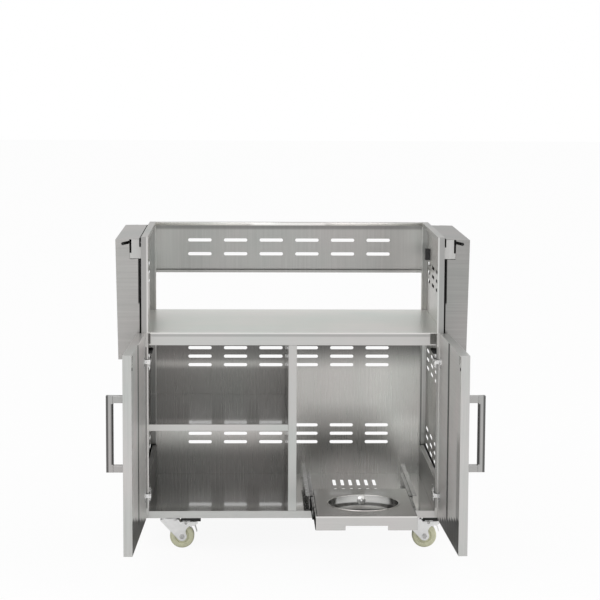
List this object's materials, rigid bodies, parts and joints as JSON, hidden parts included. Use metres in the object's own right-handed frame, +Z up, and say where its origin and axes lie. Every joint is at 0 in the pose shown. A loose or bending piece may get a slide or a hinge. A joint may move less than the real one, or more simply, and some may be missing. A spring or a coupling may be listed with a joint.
{
  "type": "grill cart",
  "caption": "Stainless steel cart for a drop-in grill head, with two doors, a shelf, a pull-out gas tank tray, fold-down side shelves and casters.",
  "frame": {"origin": "middle of the bounding box on the ground, with both doors and the tank tray open", "axes": "+Z up, +X towards the right door seen from the front, +Y from the doors towards the rear panel"},
  "size_m": [1.0722, 1.0164, 0.968],
  "materials": {
    "stainless": "brushed, satin",
    "handle_steel": "fine satin",
    "zinc_plate": "bright zinc plate",
    "fastener_steel": "plated",
    "wheel_tread": "satin",
    "black_plastic": "matt"
  },
  "bodies": {
    "cabinet": {"side_panel_left": "stainless", "side_panel_right": "stainless", "rear_rail": "stainless", "rear_panel": "stainless", "deck": "stainless", "floor_pan": "stainless", "divider": "stainless", "middle_shelf": "stainless", "wall_skirts": "stainless", "rear_screws": "fastener_steel", "hose_clip": "black_plastic", "caster_rails": "stainless", "caster_plates": "zinc_plate", "caster_bolts": "fastener_steel", "slide_brackets": "stainless", "slide_outer_members": "zinc_plate", "hinge_arms": "zinc_plate", "door_dampers": "black_plastic", "door_magnets": "black_plastic", "shelf_brackets_left": "stainless", "shelf_brackets_right": "stainless", "shelf_pins": "fastener_steel"},
    "slide_middle": {"slide_middle_members": "zinc_plate"},
    "tray": {"slide_inner_members": "zinc_plate", "tank_tray": "stainless", "tank_ring": "stainless"},
    "tank_screw": {"tank_screw": "fastener_steel"},
    "left_door": {"door_skin_left": "stainless", "door_liner_left": "stainless", "door_handle_left": "handle_steel", "hinge_cups_left": "zinc_plate", "door_striker_left": "fastener_steel", "door_bumpers_left": "black_plastic"},
    "left_shelf": {"side_shelf_left": "stainless", "shelf_stiffener_left": "stainless"},
    "right_door": {"door_skin_right": "stainless", "door_liner_right": "stainless", "door_handle_right": "handle_steel", "hinge_cups_right": "zinc_plate", "door_striker_right": "fastener_steel", "door_bumpers_right": "black_plastic"},
    "right_shelf": {"side_shelf_right": "stainless", "shelf_stiffener_right": "stainless"},
    "front_left_fork": {"fork_front_left": "zinc_plate", "axle_front_left": "fastener_steel", "pedal_pin_left": "fastener_steel"},
    "front_left_wheel": {"wheel_front_left": "wheel_tread"},
    "rear_left_fork": {"fork_rear_left": "zinc_plate", "axle_rear_left": "fastener_steel"},
    "rear_left_wheel": {"wheel_rear_left": "wheel_tread"},
    "brake_pedal_left": {"brake_pedal_left": "zinc_plate"},
    "front_right_fork": {"fork_front_right": "zinc_plate", "axle_front_right": "fastener_steel", "pedal_pin_right": "fastener_steel"},
    "front_right_wheel": {"wheel_front_right": "wheel_tread"},
    "rear_right_fork": {"fork_rear_right": "zinc_plate", "axle_rear_right": "fastener_steel"},
    "rear_right_wheel": {"wheel_rear_right": "wheel_tread"},
    "brake_pedal_right": {"brake_pedal_right": "zinc_plate"}
  },
  "joints": [
    {"name": "left_door_hinge", "type": "hinge", "parent": "cabinet", "child": "left_door", "pos_m": [-0.4505, -0.05931, 0.389], "axis": [0, 0, 1], "range_deg": [0, 92]},
    {"name": "right_door_hinge", "type": "hinge", "parent": "cabinet", "child": "right_door", "pos_m": [0.4505, -0.05931, 0.389], "axis": [0, 0, -1], "range_deg": [0, 18]},
    {"name": "tray_slide", "type": "slide", "parent": "cabinet", "child": "tray", "axis": [0, 1, 0], "range_m": [0, 0.278]},
    {"name": "slide_middle_run", "type": "slide", "parent": "cabinet", "child": "slide_middle", "axis": [0, 1, 0], "range_m": [0, 0.139]},
    {"name": "tank_screw_turn", "type": "hinge", "parent": "tray", "child": "tank_screw", "pos_m": [0.212, -0.04231, 0.159], "axis": [0, 1, 0], "continuous": true},
    {"name": "left_shelf_hinge", "type": "hinge", "parent": "cabinet", "child": "left_shelf", "pos_m": [-0.513, 0.22594, 0.946], "axis": [0, 1, 0], "range_deg": [0, 91.09]},
    {"name": "right_shelf_hinge", "type": "hinge", "parent": "cabinet", "child": "right_shelf", "pos_m": [0.513, 0.22594, 0.946], "axis": [0, -1, 0], "range_deg": [0, 91.09]},
    {"name": "front_left_swivel", "type": "hinge", "parent": "cabinet", "child": "front_left_fork", "pos_m": [-0.3745, 0.01319, 0.0915], "axis": [0, 0, 1], "continuous": true},
    {"name": "front_left_wheel_spin", "type": "hinge", "parent": "front_left_fork", "child": "front_left_wheel", "pos_m": [-0.338, 0.01319, 0.0375], "axis": [0, 1, 0], "continuous": true},
    {"name": "rear_left_swivel", "type": "hinge", "parent": "cabinet", "child": "rear_left_fork", "pos_m": [-0.3745, 0.44019, 0.0915], "axis": [0, 0, 1], "continuous": true},
    {"name": "rear_left_wheel_spin", "type": "hinge", "parent": "rear_left_fork", "child": "rear_left_wheel", "pos_m": [-0.338, 0.44019, 0.0375], "axis": [0, 1, 0], "continuous": true},
    {"name": "brake_pedal_left_tilt", "type": "hinge", "parent": "front_left_fork", "child": "brake_pedal_left", "pos_m": [-0.326, 0.01319, 0.08], "axis": [0, -1, 0], "range_deg": [0, 8]},
    {"name": "front_right_swivel", "type": "hinge", "parent": "cabinet", "child": "front_right_fork", "pos_m": [0.3745, 0.01319, 0.0915], "axis": [0, 0, 1], "continuous": true},
    {"name": "front_right_wheel_spin", "type": "hinge", "parent": "front_right_fork", "child": "front_right_wheel", "pos_m": [0.411, 0.01319, 0.0375], "axis": [0, 1, 0], "continuous": true},
    {"name": "rear_right_swivel", "type": "hinge", "parent": "cabinet", "child": "rear_right_fork", "pos_m": [0.3745, 0.44019, 0.0915], "axis": [0, 0, 1], "continuous": true},
    {"name": "rear_right_wheel_spin", "type": "hinge", "parent": "rear_right_fork", "child": "rear_right_wheel", "pos_m": [0.411, 0.44019, 0.0375], "axis": [0, 1, 0], "continuous": true},
    {"name": "brake_pedal_right_tilt", "type": "hinge", "parent": "front_right_fork", "child": "brake_pedal_right", "pos_m": [0.423, 0.01319, 0.08], "axis": [0, -1, 0], "range_deg": [0, 8]}
  ],
  "couplings": [
    {"joint": "slide_middle_run", "follows": "tray_slide", "ratio": 0.5}
  ]
}
